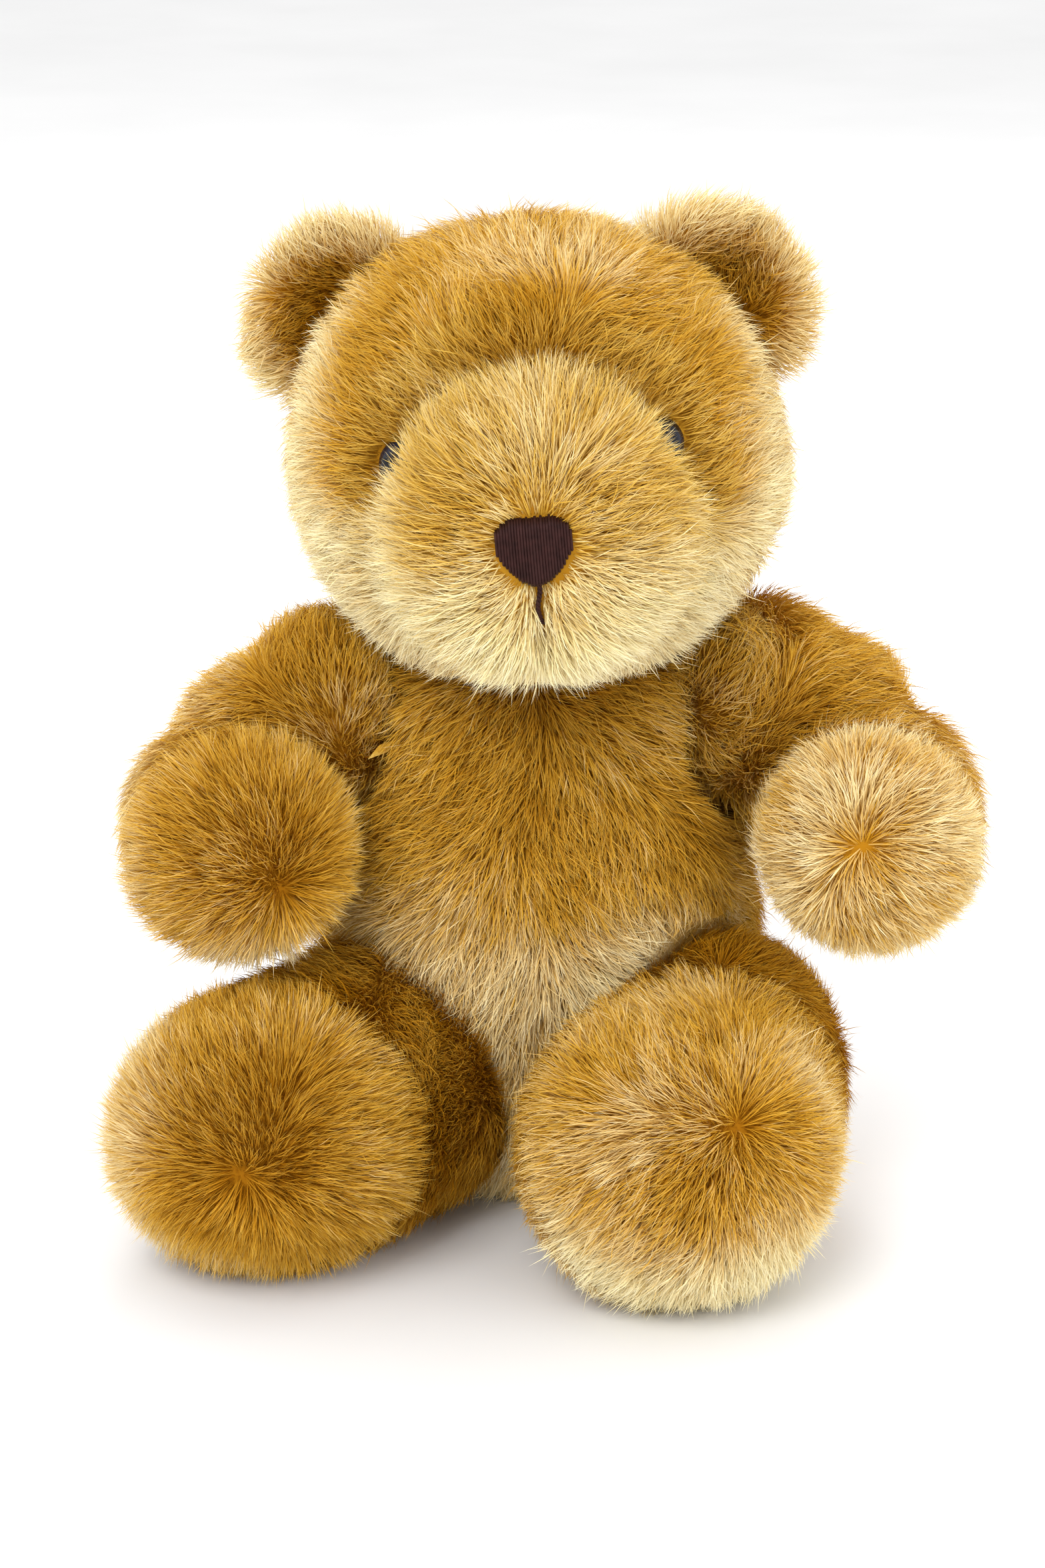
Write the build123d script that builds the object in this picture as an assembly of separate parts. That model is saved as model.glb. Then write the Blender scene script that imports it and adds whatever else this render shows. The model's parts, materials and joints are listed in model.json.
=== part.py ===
"""Jointed teddy bear, sitting: a fur skin sewn from panels over stuffing, with five disc joints.

The bear faces -Y and sits on the floor at z = 0, with the origin in the middle of its seat,
under the neck bolt. Left and right are the bear's own, so its right side is at -X.
Each disc joint turns on a bolt: head and disc in the limb, disc and lock nut in the torso.
Lengths are in millimetres.
"""
from build123d import *
import math
import os

os.makedirs("parts", exist_ok=True)

# Fabric and stuffing
FABRIC = 1.5            # thickness of the fur fabric's backing
STUFFING_GAP = 0.15     # between the fabric and the stuffing
JOINT_GAP = 0.4         # from a joint's plane to the fabric on either side

# Disc joints
BOLT_R = 3.0
BOLT_CLEARANCE = 0.25   # round the bolt in fabric and discs
NUT_CLEARANCE = 0.06    # between bolt and nut, in place of the thread
NUT_HEX_R = 5.8
NUT_HEIGHT = 5.0
NUT_COLLAR_R = 4.6
NUT_COLLAR = 1.2
BOLT_HEAD_HEX_R = 5.8
BOLT_HEAD = 4.0
BOLT_END = 1.5          # how far the bolt stands past its nut
WASHER_R = 9.0
WASHER = 1.2
DISC = 3.0
POCKET_GAP = 0.4        # round the hardware in the stuffing
CUT_PAST = 1.0          # how far a hole's tool runs past the cloth
NECK_DISC_R = 17.0
ARM_DISC_R = 12.0
LEG_DISC_R = 18.0

# Torso, as pairs of rounds of stuffing, each with its half spread, its place and its radius.
# The belly's are placed up from the seat, and the chest's down from the neck.
TORSO_HEIGHT = 166.0
TORSO_Y = 4.0
BELLY_ROUNDS = [(12.0, 38.0, 46.0), (12.0, 72.0, 48.0)]
CHEST_ROUNDS = [(12.0, 60.0, 46.0), (15.0, 29.0, 39.0)]

# Head: a large round with the round muzzle in front, leaning over by the roll
HEAD_R = 63.0
HEAD_X = 3.0            # the head's middle, before it leans
HEAD_Y = -4.0
HEAD_RISE = 57.0        # from the neck plane to the middle of the head
HEAD_ROLL = 5.0
MUZZLE_R = 34.5
MUZZLE_FORWARD = 54.0
MUZZLE_DROP = 6.0
MUZZLE_SEAM = 42.0      # from the head's middle forward to the muzzle's seam
GUSSET_HALF = 17.0

# Ears, eyes, nose and mouth
EAR_HALF_WIDTH = 26.0   # along the head's seam
EAR_HALF_HEIGHT = 22.0  # out from the seam
EAR_FRONT = 4.0
EAR_BACK = 8.0
EAR_LIFT = 3.0          # from the head's fabric out to the middle of the ear
EAR_BEHIND = 10.0       # back from the head's middle
EAR_LEAN = 48.0         # from upright to the ear's middle
EYE_R = 7.4
EYE_RISE = 4.6          # from the flange to the top of the eye's dome
EYE_SIDE = 36.0
EYE_UP = 13.0
EYE_SHANK_R = 2.2
EYE_SHANK = 13.0
EYE_WASHER_R = 8.0
EYE_WASHER = 1.4
EYE_WASHER_DEPTH = 4.0
EYE_FIT = 0.05
EYE_STAND = 0.3         # the flange stands this far off the fabric
NOSE_WIDTH = 21.0
NOSE_HEIGHT = 20.0
NOSE_PROUD = 2.2
NOSE_UP = 3.0
NOSE_SHOULDER = 0.3     # share of its height down to its widest corners
NOSE_ROUNDING = 2.6
MOUTH_WIDTH = 1.6
MOUTH_LENGTH = 15.0
MOUTH_PROUD = 0.8
MOUTH_TUCK = 1.0        # the thread starts under the nose

# Arms, as the centre and radius of each round of stuffing from shoulder to paw. Each centre is
# how far out, back and up it is from the shoulder.
SHOULDER_DROP = 25.0    # from the neck down to the shoulder
SHOULDER = (48.6, -3.0, TORSO_HEIGHT - SHOULDER_DROP)
SHOULDER_AXIS = (0.93, -0.33, 0.15)
RIGHT_ARM = [((12.4, -1, 6), 23.5), ((30.4, -3, -8), 24.5), ((42.4, -21, -23), 26.0), ((37.4, -49, -20), 25.5)]
LEFT_ARM = [((12.4, -1, 9), 24.0), ((31.4, -2, -3), 24.5), ((46.4, -20, -18), 25.0), ((44.4, -48, -19), 26.0)]

# Legs, as the centre and radius of each round of stuffing from hip to foot
HIP = (35.0, -20.0, 40.0)
HIP_AXIS = (0.74, -0.60, -0.30)
RIGHT_LEG = [((-47, -31, 40), 37.0), ((-65, -52, 38.5), 37.5), ((-78, -71, 38.5), 38.0)]
LEFT_LEG = [((47, -31, 41), 38.0), ((42, -59, 39.5), 38.5), ((38, -83, 40), 39.5)]
RIGHT_TOE_TURN = 22.0   # how far the foot points out
LEFT_TOE_TURN = 2.0
SEAM_SHIFT = 1.5        # from the foot's middle outward to its lengthwise seam
SOLE_SEAM = 14.0        # from the last round's middle forward to the sole's seam

NECK_PLANE_Z = TORSO_HEIGHT + JOINT_GAP
HEAD_CENTRE = (HEAD_X, HEAD_Y, NECK_PLANE_Z + HEAD_RISE)
MUZZLE_CENTRE = (HEAD_X, HEAD_Y - MUZZLE_FORWARD, NECK_PLANE_Z + HEAD_RISE - MUZZLE_DROP)


def unit(v):
    """The direction of v."""
    return Vector(*v).normalized()


def mirrored(v, side):
    """A left-side point or direction, put on the side with that sign."""
    return Vector(side * v[0], v[1], v[2])


def keep_side(shape, plane, above):
    """The part of a shape on one side of a plane."""
    return split(shape, bisect_by=plane, keep=Keep.TOP if above else Keep.BOTTOM)


def ball(centre, radius):
    """A round of stuffing."""
    return Pos(*centre) * Sphere(radius)


def together(rounds, shrink, turn=0):
    """Rounds of stuffing run together into one form, each turned by the same angle about its upright."""
    shape = None
    for centre, radius in rounds:
        one = ball(centre, radius - shrink).rotate(Axis(centre, (0, 0, 1)), turn)
        shape = one if shape is None else shape + one
    return shape


def torso_form(shrink):
    """The torso, flat at the seat and the neck and at each disc joint."""
    pairs = BELLY_ROUNDS + [(half, TORSO_HEIGHT - drop, radius) for half, drop, radius in CHEST_ROUNDS]
    rounds = [((side * half, TORSO_Y, z), radius) for half, z, radius in pairs for side in (-1, 1)]
    shape = keep_side(together(rounds, shrink), Plane.XY.offset(shrink), above=True)
    shape = keep_side(shape, Plane.XY.offset(TORSO_HEIGHT - shrink), above=False)
    for side in (-1, 1):
        for point, direction in ((SHOULDER, SHOULDER_AXIS), (HIP, HIP_AXIS)):
            outward = unit(mirrored(direction, side))
            flat = mirrored(point, side) - outward * (JOINT_GAP + shrink)
            shape = keep_side(shape, Plane(origin=flat, z_dir=outward), above=False)
    return shape


def head_form(shrink):
    """The head with its muzzle, leaning by the roll and flat at the neck."""
    lean = lean_head(together([(HEAD_CENTRE, HEAD_R), (MUZZLE_CENTRE, MUZZLE_R)], shrink))
    return keep_side(lean, Plane.XY.offset(NECK_PLANE_Z + JOINT_GAP + shrink), above=True)


def lean_head(shape):
    """A shape on the upright head, turned to where the leaning head has it."""
    roll = Axis((0, 0, NECK_PLANE_Z), (0, 1, 0))
    return shape.rotate(roll, -HEAD_ROLL)


def limb_form(joint, outward, rounds, shrink, turn=0):
    """A stuffed limb: its rounds of stuffing run together, flat where it meets the torso."""
    flat = joint + outward * (JOINT_GAP + shrink)
    return keep_side(together(rounds, shrink, turn), Plane(origin=flat, z_dir=outward), above=True)


def joint_plane(point, direction):
    """A plane at a disc joint, with its Z along the bolt towards the limb."""
    return Plane(origin=Vector(*point), z_dir=unit(direction))


def rod(plane, radius, low, high):
    """A round solid on the joint's axis, from one distance along it to another."""
    return plane.offset(low) * extrude(Circle(radius), high - low)


def hexagon(plane, radius, low, high):
    """A hexagonal solid on the joint's axis, its radius to the corners."""
    return plane.offset(low) * extrude(RegularPolygon(radius, 6), high - low)


FACE = JOINT_GAP + FABRIC
DISC_BACK = FACE + DISC
WASHER_BACK = DISC_BACK + WASHER
HEAD_BACK = WASHER_BACK + BOLT_HEAD
NUT_BACK = WASHER_BACK + NUT_HEIGHT
BOLT_TIP = NUT_BACK + BOLT_END
HOLE_R = BOLT_R + BOLT_CLEARANCE


def ring(plane, radius, low, high):
    """A disc or washer with a hole for the bolt."""
    return rod(plane, radius, low, high) - rod(plane, HOLE_R, low - CUT_PAST, high + CUT_PAST)


def bolt(plane):
    """A hexagon bolt with its head in the limb."""
    head = hexagon(plane, BOLT_HEAD_HEX_R, WASHER_BACK, HEAD_BACK)
    return head + rod(plane, BOLT_R, -BOLT_TIP, WASHER_BACK)


def lock_nut(plane):
    """A lock nut in the torso, with its collar away from the joint."""
    body = hexagon(plane, NUT_HEX_R, -NUT_BACK + NUT_COLLAR, -WASHER_BACK)
    collar = rod(plane, NUT_COLLAR_R, -NUT_BACK, -NUT_BACK + NUT_COLLAR)
    return body + collar - rod(plane, BOLT_R + NUT_CLEARANCE, -NUT_BACK - CUT_PAST, 0)


def limb_pocket(plane, disc_r):
    """The room that a disc, washer and bolt head take up in a limb's stuffing."""
    disc_room = rod(plane, disc_r + POCKET_GAP, 0, DISC_BACK + POCKET_GAP)
    return disc_room + rod(plane, WASHER_R + POCKET_GAP, 0, HEAD_BACK + POCKET_GAP)


def torso_pocket(plane, disc_r):
    """The room that a disc, washer, nut and bolt end take up in the torso's stuffing."""
    disc_room = rod(plane, disc_r + POCKET_GAP, -DISC_BACK - POCKET_GAP, 0)
    return disc_room + rod(plane, WASHER_R + POCKET_GAP, -BOLT_TIP - POCKET_GAP, 0)


def sewn_panel(outer, inner, holes, *sides):
    """One panel of a fur skin: the part of the form inside its seams, hollowed and pierced."""
    piece = outer
    for plane, above in sides:
        piece = keep_side(piece, plane, above)
    piece -= inner
    for hole in holes:
        piece -= hole
    return piece


def save(node, shape):
    """Write one sub-part."""
    export_step(shape, f"parts/{node}.step")


def as_group(solids):
    """Identical fasteners as one group of separate solids."""
    return Compound([piece for shape in solids for piece in shape.solids()])


def build_limb(name, form, plane, disc_r, panels, part_name):
    """Write a limb's sewn panels, its stuffing and its half of the disc joint."""
    outer = form(0.0)
    inner = form(FABRIC)
    hole = rod(plane, HOLE_R, -CUT_PAST, FACE + CUT_PAST)
    for node, sides in panels.items():
        save(f"{name}_{node}", sewn_panel(outer, inner, [hole], *sides))
    stuffing = form(FABRIC + STUFFING_GAP) - limb_pocket(plane, disc_r)
    save(f"{name}_stuffing", stuffing)
    save(f"{name}_{part_name}_disc", ring(plane, disc_r, FACE, DISC_BACK))
    save(f"{name}_{part_name}_washer", ring(plane, WASHER_R, DISC_BACK, WASHER_BACK))
    save(f"{name}_{part_name}_bolt", bolt(plane))


def build_arm(name, side, stations):
    """An arm sewn from an upper and an under panel, which meet along its bent middle."""
    joint = mirrored(SHOULDER, side)
    outward = unit(mirrored(SHOULDER_AXIS, side))
    plane = joint_plane(joint, outward)
    rounds = [(joint + mirrored(place, side), radius) for place, radius in stations]
    elbow, paw = rounds[-2][0], rounds[-1][0]
    seam = Plane(origin=joint, z_dir=(elbow - joint).cross(paw - joint).normalized() * side)

    def form(shrink):
        return limb_form(joint, outward, rounds, shrink)

    panels = {"upper_panel": [(seam, True)], "under_panel": [(seam, False)]}
    build_limb(name, form, plane, ARM_DISC_R, panels, "shoulder")


def build_leg(name, side, stations, toe_turn):
    """A leg sewn from an outer and an inner panel, with a sole closing the foot."""
    joint = mirrored(HIP, side)
    outward = unit(mirrored(HIP_AXIS, side))
    plane = joint_plane(joint, outward)
    foot = Vector(*stations[-1][0])
    ahead = Vector(side * math.sin(math.radians(toe_turn)), -math.cos(math.radians(toe_turn)), 0)
    sole_seam = Plane(origin=foot + ahead * SOLE_SEAM, z_dir=ahead)
    across = Vector(0, 0, 1).cross(foot - joint).normalized() * -side
    seam = Plane(origin=foot + across * SEAM_SHIFT, z_dir=across)

    def form(shrink):
        return limb_form(joint, outward, stations, shrink, turn=90 - 90 * side)

    panels = {
        "sole": [(sole_seam, True)],
        "outer_panel": [(sole_seam, False), (seam, True)],
        "inner_panel": [(sole_seam, False), (seam, False)],
    }
    build_limb(name, form, plane, LEG_DISC_R, panels, "hip")


def eye_plane(side):
    """Where an eye's flange sits on the upright head, with Z looking outward."""
    ahead = math.sqrt(HEAD_R ** 2 - EYE_SIDE ** 2 - EYE_UP ** 2)
    outward = Vector(side * EYE_SIDE, -ahead, EYE_UP)
    return Plane(origin=Vector(*HEAD_CENTRE) + outward, z_dir=outward.normalized())


def build_eye(name, side):
    """A safety eye, its shank through the fabric, and the toothed washer that holds it."""
    plane = eye_plane(side)
    dome = keep_side(ball((0, 0, EYE_RISE - EYE_R), EYE_R), Plane.XY, above=True)
    eye = plane.offset(EYE_STAND) * dome + rod(plane, EYE_SHANK_R, -EYE_SHANK, EYE_RISE / 2)
    washer = rod(plane, EYE_WASHER_R, -EYE_WASHER_DEPTH - EYE_WASHER, -EYE_WASHER_DEPTH)
    washer -= rod(plane, EYE_SHANK_R + EYE_FIT, -EYE_SHANK, 0)
    save(f"{name}_eye", lean_head(eye))
    save(f"{name}_eye_washer", lean_head(washer))


def eye_room(side):
    """The room that an eye's shank and washer take up in the stuffing."""
    plane = eye_plane(side)
    room = rod(plane, EYE_SHANK_R + POCKET_GAP, -EYE_SHANK - POCKET_GAP, CUT_PAST)
    room += rod(plane, EYE_WASHER_R + POCKET_GAP, -EYE_WASHER_DEPTH - EYE_WASHER - POCKET_GAP, CUT_PAST)
    return lean_head(room)


def eye_hole(side):
    """The hole in the fabric for an eye's shank."""
    return lean_head(rod(eye_plane(side), EYE_SHANK_R + POCKET_GAP, -EYE_WASHER_DEPTH, EYE_R))


def build_nose_and_mouth():
    """The embroidered nose and the mouth's thread, lying on the muzzle's fabric."""
    x, y, z = MUZZLE_CENTRE
    fabric = ball(MUZZLE_CENTRE, MUZZLE_R)
    half = NOSE_WIDTH / 2
    top = z + NOSE_UP + NOSE_HEIGHT / 2
    low = top - NOSE_HEIGHT
    corner = top - NOSE_HEIGHT * NOSE_SHOULDER
    outline = Polyline((-half, top), (half, top), (half, corner), (0, low), (-half, corner), close=True)
    shape = fillet(make_face(outline).vertices(), NOSE_ROUNDING)
    pad = Pos(x, y, 0) * extrude(Plane.XZ * shape, MUZZLE_R * 2)
    nose = (pad & ball(MUZZLE_CENTRE, MUZZLE_R + NOSE_PROUD)) - fabric
    save("nose", lean_head(nose))
    thread = Box(MOUTH_WIDTH, MUZZLE_R * 2, MOUTH_LENGTH)
    thread = Pos(x, y - MUZZLE_R, low + MOUTH_TUCK - MOUTH_LENGTH / 2) * thread
    mouth = (thread & ball(MUZZLE_CENTRE, MUZZLE_R + MOUTH_PROUD)) - fabric - nose
    save("mouth_stitch", lean_head(mouth))


def build_ear(name, side, head):
    """An ear of two panels, standing on the head's side seam."""
    upright = Pos(*HEAD_CENTRE) * Rot(0, side * EAR_LEAN, 0)
    place = upright * Pos(0, EAR_BEHIND, HEAD_R + EAR_LIFT)
    for layer, depth, toward_front in (("front", EAR_FRONT, True), ("back", EAR_BACK, False)):
        lens = scale(Sphere(1.0), by=(EAR_HALF_WIDTH, depth, EAR_HALF_HEIGHT))
        half = keep_side(lens, Plane.XZ, above=toward_front)
        save(f"{name}_ear_{layer}", lean_head(place * half) - head)


def build_head():
    """The head's four fur panels, its features, its stuffing and its half of the neck joint."""
    outer = head_form(0.0)
    plane = joint_plane((0, 0, NECK_PLANE_Z), (0, 0, 1))
    inner = head_form(FABRIC)
    holes = [rod(plane, HOLE_R, -CUT_PAST, FACE + CUT_PAST), eye_hole(-1), eye_hole(1)]
    lean = math.radians(HEAD_ROLL)
    across = Vector(math.cos(lean), 0, math.sin(lean))
    middle = Vector(0, 0, NECK_PLANE_Z)
    muzzle_seam = Plane.XZ.offset(MUZZLE_SEAM - HEAD_Y)
    right_seam = Plane(origin=middle - across * GUSSET_HALF, z_dir=across)
    left_seam = Plane(origin=middle + across * GUSSET_HALF, z_dir=across)
    behind = (muzzle_seam, False)
    save("muzzle_panel", sewn_panel(outer, inner, holes, (muzzle_seam, True)))
    save("head_right_panel", sewn_panel(outer, inner, holes, behind, (right_seam, False)))
    save("head_left_panel", sewn_panel(outer, inner, holes, behind, (left_seam, True)))
    save("head_gusset", sewn_panel(outer, inner, holes, behind, (right_seam, True), (left_seam, False)))
    stuffing = head_form(FABRIC + STUFFING_GAP) - limb_pocket(plane, NECK_DISC_R)
    for name, side in (("right", -1), ("left", 1)):
        stuffing -= eye_room(side)
        build_eye(name, side)
        build_ear(name, side, outer)
    save("head_stuffing", stuffing)
    build_nose_and_mouth()
    save("neck_disc_upper", ring(plane, NECK_DISC_R, FACE, DISC_BACK))
    save("neck_washer", ring(plane, WASHER_R, DISC_BACK, WASHER_BACK))
    save("neck_bolt", bolt(plane))


def torso_joints():
    """Each of the torso's disc joints as its name, plane and disc radius."""
    joints = [("neck_disc_lower", joint_plane((0, 0, NECK_PLANE_Z), (0, 0, 1)), NECK_DISC_R)]
    for name, side in (("right", -1), ("left", 1)):
        shoulder = joint_plane(mirrored(SHOULDER, side), mirrored(SHOULDER_AXIS, side))
        hip = joint_plane(mirrored(HIP, side), mirrored(HIP_AXIS, side))
        joints.append((f"torso_{name}_shoulder_disc", shoulder, ARM_DISC_R))
        joints.append((f"torso_{name}_hip_disc", hip, LEG_DISC_R))
    return joints


def build_torso():
    """The torso's four fur panels, its stuffing and its half of every disc joint."""
    outer = torso_form(0.0)
    inner = torso_form(FABRIC)
    stuffing = torso_form(FABRIC + STUFFING_GAP)
    holes = []
    for name, plane, disc_r in torso_joints():
        holes.append(rod(plane, HOLE_R, -FACE - CUT_PAST, CUT_PAST))
        stuffing -= torso_pocket(plane, disc_r)
        save(name, ring(plane, disc_r, -DISC_BACK, -FACE))
    save("torso_stuffing", stuffing)
    side_seam = Plane.XZ.offset(-TORSO_Y)
    for part, front in (("front", True), ("back", False)):
        for side, left in (("left", True), ("right", False)):
            piece = sewn_panel(outer, inner, holes, (side_seam, front), (Plane.YZ, left))
            save(f"torso_{part}_{side}_panel", piece)
    planes = [plane for _, plane, _ in torso_joints()]
    save("torso_washers", as_group(ring(plane, WASHER_R, -WASHER_BACK, -DISC_BACK) for plane in planes))
    save("lock_nuts", as_group(lock_nut(plane) for plane in planes))


build_torso()
build_head()
build_arm("right_arm", -1, RIGHT_ARM)
build_arm("left_arm", 1, LEFT_ARM)
build_leg("right_leg", -1, RIGHT_LEG, RIGHT_TOE_TURN)
build_leg("left_leg", 1, LEFT_LEG, LEFT_TOE_TURN)
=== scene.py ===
"""A sitting teddy bear with disc joints, in long golden plush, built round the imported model."""
import functools
import json
import math

import bmesh
import bpy
import numpy as np
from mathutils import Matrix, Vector
from mathutils.bvhtree import BVHTree


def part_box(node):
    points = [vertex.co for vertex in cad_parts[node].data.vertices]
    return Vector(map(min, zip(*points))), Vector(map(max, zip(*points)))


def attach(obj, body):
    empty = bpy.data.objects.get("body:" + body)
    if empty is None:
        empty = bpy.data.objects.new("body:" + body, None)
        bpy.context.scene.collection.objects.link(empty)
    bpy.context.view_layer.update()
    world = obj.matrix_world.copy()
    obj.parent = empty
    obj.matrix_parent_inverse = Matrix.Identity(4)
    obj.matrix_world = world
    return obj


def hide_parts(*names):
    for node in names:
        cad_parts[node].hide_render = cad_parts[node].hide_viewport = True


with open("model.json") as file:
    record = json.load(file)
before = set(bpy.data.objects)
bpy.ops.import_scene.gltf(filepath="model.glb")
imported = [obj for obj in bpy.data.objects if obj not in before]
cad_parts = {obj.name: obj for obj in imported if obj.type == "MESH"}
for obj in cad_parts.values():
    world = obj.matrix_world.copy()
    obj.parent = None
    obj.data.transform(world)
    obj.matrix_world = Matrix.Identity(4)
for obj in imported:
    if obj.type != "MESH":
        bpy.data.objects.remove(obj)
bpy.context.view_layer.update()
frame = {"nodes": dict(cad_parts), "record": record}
MM = 0.001
bodies = frame["record"]["behaviour"]["bodies"]
joints = {joint["name"]: joint for joint in frame["record"]["behaviour"]["joints"]}


# ---- Joint hardware ----
# Each joint is a bolt through two pressed-board discs, with a washer at each and a lock nut in the
# torso. The steel is zinc plated, and handling leaves faint cloudy patches and fine scratches.

def new_material(name):
    """An empty material with its shader, and the node tree to build in."""
    material = bpy.data.materials.new(name)
    material.use_nodes = True
    tree = material.node_tree
    tree.nodes.clear()
    shader = tree.nodes.new("ShaderNodeBsdfPrincipled")
    out = tree.nodes.new("ShaderNodeOutputMaterial")
    tree.links.new(shader.outputs["BSDF"], out.inputs["Surface"])
    return material, tree, shader


def colour_ramp(tree, factor, stops):
    """A ramp of (place, linear colour) stops, read at factor."""
    ramp = tree.nodes.new("ShaderNodeValToRGB")
    stretch = ramp.color_ramp
    while len(stretch.elements) < len(stops):
        stretch.elements.new(0.5)
    for element, (place, colour) in zip(stretch.elements, stops):
        element.position = place
        element.color = (*colour, 1.0)
    tree.links.new(factor, ramp.inputs["Fac"])
    return ramp.outputs["Color"]


def grain_group():
    """A node group of mottled grain: a mask of its patches and a height of its fibres."""
    tree = bpy.data.node_groups.new("grain", "ShaderNodeTree")
    side = tree.interface
    side.new_socket("Patch scale", in_out="INPUT", socket_type="NodeSocketFloat")
    side.new_socket("Fibre scale", in_out="INPUT", socket_type="NodeSocketFloat")
    side.new_socket("Stretch", in_out="INPUT", socket_type="NodeSocketVector")
    side.new_socket("Patches", in_out="OUTPUT", socket_type="NodeSocketFloat")
    side.new_socket("Fibres", in_out="OUTPUT", socket_type="NodeSocketFloat")
    given = tree.nodes.new("NodeGroupInput")
    found = tree.nodes.new("NodeGroupOutput")
    place = tree.nodes.new("ShaderNodeTexCoord")
    patches = tree.nodes.new("ShaderNodeTexNoise")
    patches.inputs["Detail"].default_value = 4.0
    stretched = tree.nodes.new("ShaderNodeVectorMath")
    stretched.operation = "MULTIPLY"
    fibres = tree.nodes.new("ShaderNodeTexNoise")
    fibres.inputs["Detail"].default_value = 6.0
    tree.links.new(place.outputs["Object"], patches.inputs["Vector"])
    tree.links.new(given.outputs["Patch scale"], patches.inputs["Scale"])
    tree.links.new(place.outputs["Object"], stretched.inputs[0])
    tree.links.new(given.outputs["Stretch"], stretched.inputs[1])
    tree.links.new(stretched.outputs["Vector"], fibres.inputs["Vector"])
    tree.links.new(given.outputs["Fibre scale"], fibres.inputs["Scale"])
    tree.links.new(patches.outputs["Fac"], found.inputs["Patches"])
    tree.links.new(fibres.outputs["Fac"], found.inputs["Fibres"])
    return tree


grain = grain_group()


def hard_finish(name, stops, rough, metallic=0.0, specular=0.5, patch=90.0, fibre=900.0,
                stretch=(1, 1, 1), height=0.1):
    """A finish with mottled colour and roughness and a fine raised grain."""
    material, tree, shader = new_material(name)
    mottle = tree.nodes.new("ShaderNodeGroup")
    mottle.node_tree = grain
    mottle.inputs["Patch scale"].default_value = patch
    mottle.inputs["Fibre scale"].default_value = fibre
    mottle.inputs["Stretch"].default_value = stretch
    tree.links.new(colour_ramp(tree, mottle.outputs["Patches"], stops), shader.inputs["Base Color"])
    spread = tree.nodes.new("ShaderNodeMapRange")
    spread.inputs["To Min"].default_value = rough[0]
    spread.inputs["To Max"].default_value = rough[1]
    tree.links.new(mottle.outputs["Fibres"], spread.inputs["Value"])
    tree.links.new(spread.outputs["Result"], shader.inputs["Roughness"])
    bump = tree.nodes.new("ShaderNodeBump")
    bump.inputs["Strength"].default_value = height
    bump.inputs["Distance"].default_value = 0.2 * MM
    tree.links.new(mottle.outputs["Fibres"], bump.inputs["Height"])
    tree.links.new(bump.outputs["Normal"], shader.inputs["Normal"])
    shader.inputs["Metallic"].default_value = metallic
    shader.inputs["Specular IOR Level"].default_value = specular
    return material


def finish_nodes(material, *endings):
    """Give a material to every CAD node whose name ends so."""
    for name, node in frame["nodes"].items():
        if name.endswith(endings):
            node.data.materials.clear()
            node.data.materials.append(material)


zinc = hard_finish("zinc_plate", [(0.3, (0.42, 0.44, 0.46)), (0.7, (0.66, 0.67, 0.68))], (0.22, 0.45),
                   metallic=1.0, patch=160.0, fibre=1500.0, stretch=(1, 1, 5))
finish_nodes(zinc, "_bolt", "lock_nuts", "_shoulder_washer", "_hip_washer", "neck_washer", "torso_washers")
board = hard_finish("pressed_board", [(0.3, (0.16, 0.08, 0.035)), (0.7, (0.30, 0.17, 0.08))], (0.55, 0.8),
                    patch=240.0, fibre=700.0, stretch=(1, 4, 1), height=0.5)
finish_nodes(board, "_disc", "disc_upper", "disc_lower")


# ---- Stuffing and eye washers ----
# White polyester fibre fills every part through a gap left in a seam. A toothed plastic washer
# holds each eye from inside.

fibre_fill = hard_finish("polyester_fibre", [(0.3, (0.72, 0.72, 0.69)), (0.7, (0.90, 0.90, 0.88))],
                         (0.8, 1.0), patch=120.0, fibre=420.0, height=1.0)
washer_plastic = hard_finish("moulded_washer", [(0.3, (0.68, 0.67, 0.62)), (0.7, (0.80, 0.79, 0.74))],
                             (0.4, 0.55), patch=200.0, fibre=1200.0, height=0.2)
finish_nodes(washer_plastic, "_eye_washer")


# ---- Torso ----
# Four panels of long-pile plush, sewn down the front, back and both sides and stuffed firm. The pile
# is brushed down and outward from the front seam, and it is paler low on the belly.

VOXEL = 2.6 * MM
JOINT_GAP = 0.4 * MM
FUR_GAP = 0.3 * MM
FLOOR_GAP = 0.4 * MM


def evaluated_mesh(obj):
    """An object's mesh with its modifiers applied."""
    return bpy.data.meshes.new_from_object(obj.evaluated_get(bpy.context.evaluated_depsgraph_get()))


def whole_part(edges, count):
    """Which vertices belong to the largest connected part of a mesh."""
    label = np.arange(count)
    while True:
        lowest = label.copy()
        np.minimum.at(lowest, edges[:, 0], label[edges[:, 1]])
        np.minimum.at(lowest, edges[:, 1], label[edges[:, 0]])
        lowest = lowest[lowest]
        if np.array_equal(lowest, label):
            break
        label = lowest
    return label == np.bincount(label).argmax()


def gathered(where, vectors, count):
    """The sum of the vectors that belong to each of count points."""
    return np.stack([np.bincount(where, vectors[:, axis], count) for axis in range(3)], 1)


def relaxed(points, edges, rounds, pull=0.5):
    """Points drawn towards the middle of their neighbours, as cloth pulls smooth over stuffing."""
    count = np.bincount(edges.ravel(), minlength=len(points))[:, None]
    both = np.concatenate([edges, edges[:, ::-1]])
    for _ in range(rounds):
        total = gathered(both[:, 0], points[both[:, 1]], len(points))
        points = points + pull * (total / np.maximum(count, 1) - points)
    return points


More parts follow.
